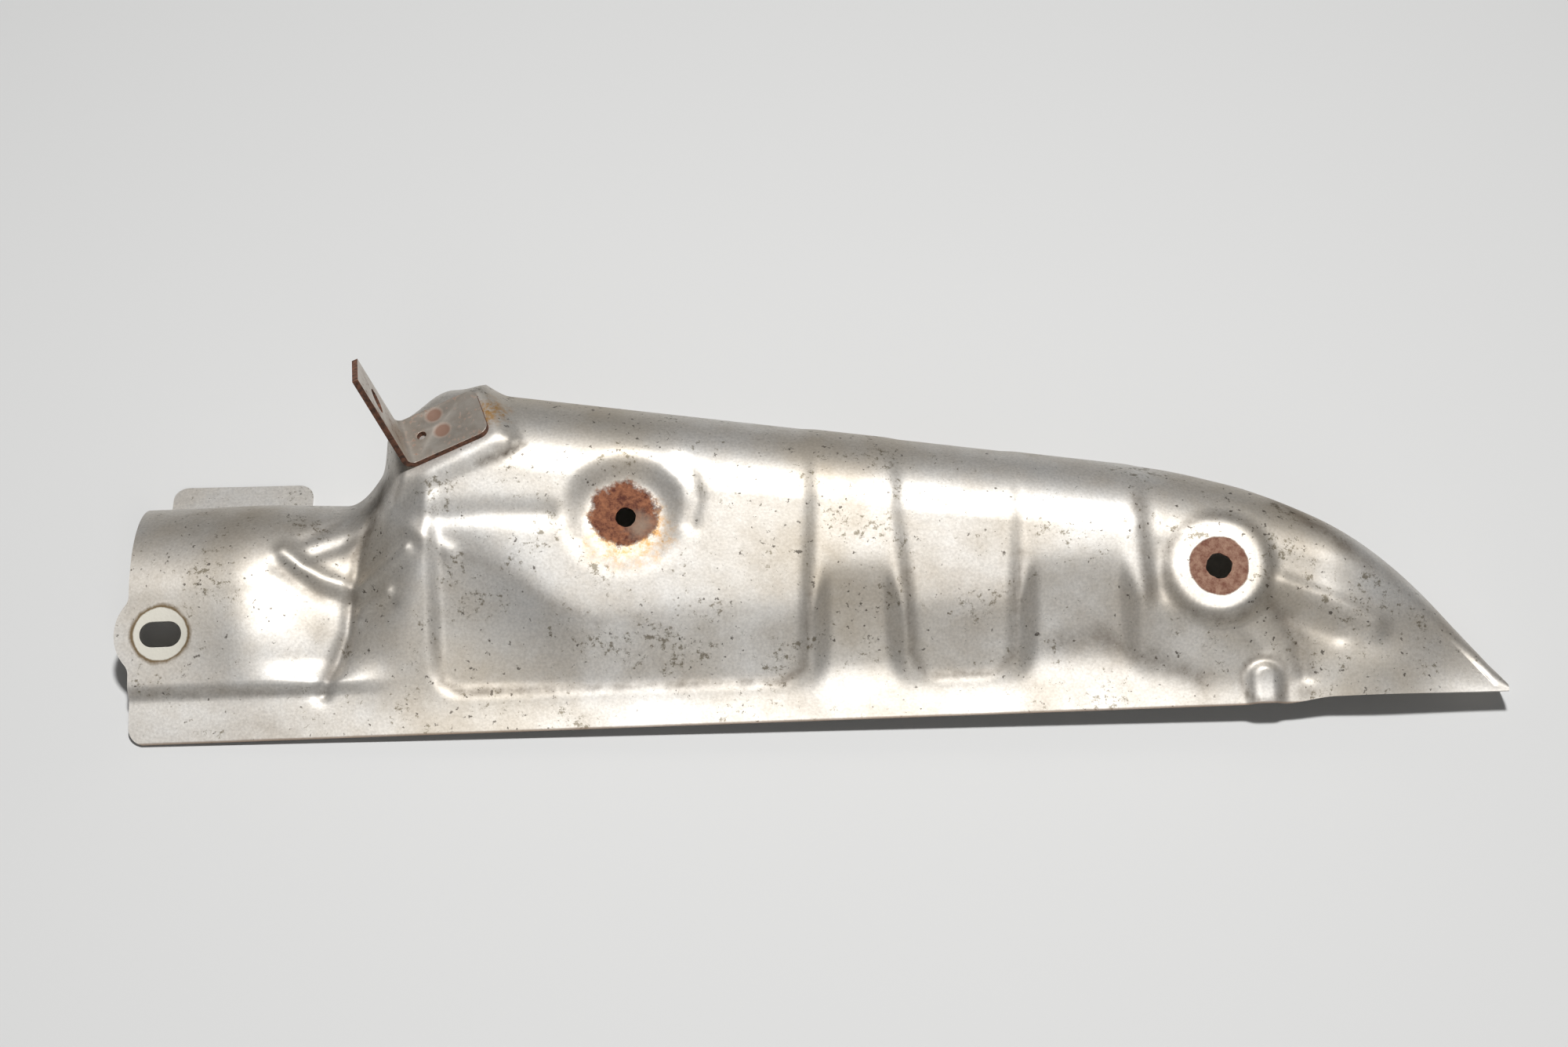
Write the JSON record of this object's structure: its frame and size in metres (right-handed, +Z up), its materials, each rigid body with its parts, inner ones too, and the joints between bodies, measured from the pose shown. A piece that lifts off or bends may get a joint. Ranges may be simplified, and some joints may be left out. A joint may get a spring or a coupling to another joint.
{
  "type": "heat shield",
  "caption": "Pressed sheet-steel heat shield with a domed crown, tapered nose, stiffening ribs, bolt pads, a slotted ear and a welded strip bracket.",
  "frame": {"origin": "on the resting surface, under the middle of the part's box", "axes": "+X along the shield from the slotted ear to the nose, +Y from the front flange to the rear wall, +Z up as it lies"},
  "size_m": [0.4518, 0.1308, 0.0906],
  "materials": {
    "aluminised_steel": "satin aluminised skin with stains and rust round the bolt holes",
    "strip_steel": "dull plated strip with rusted cut edges"
  },
  "bodies": {
    "root": {"shield": "aluminised_steel", "bracket": "strip_steel"}
  },
  "joints": []
}
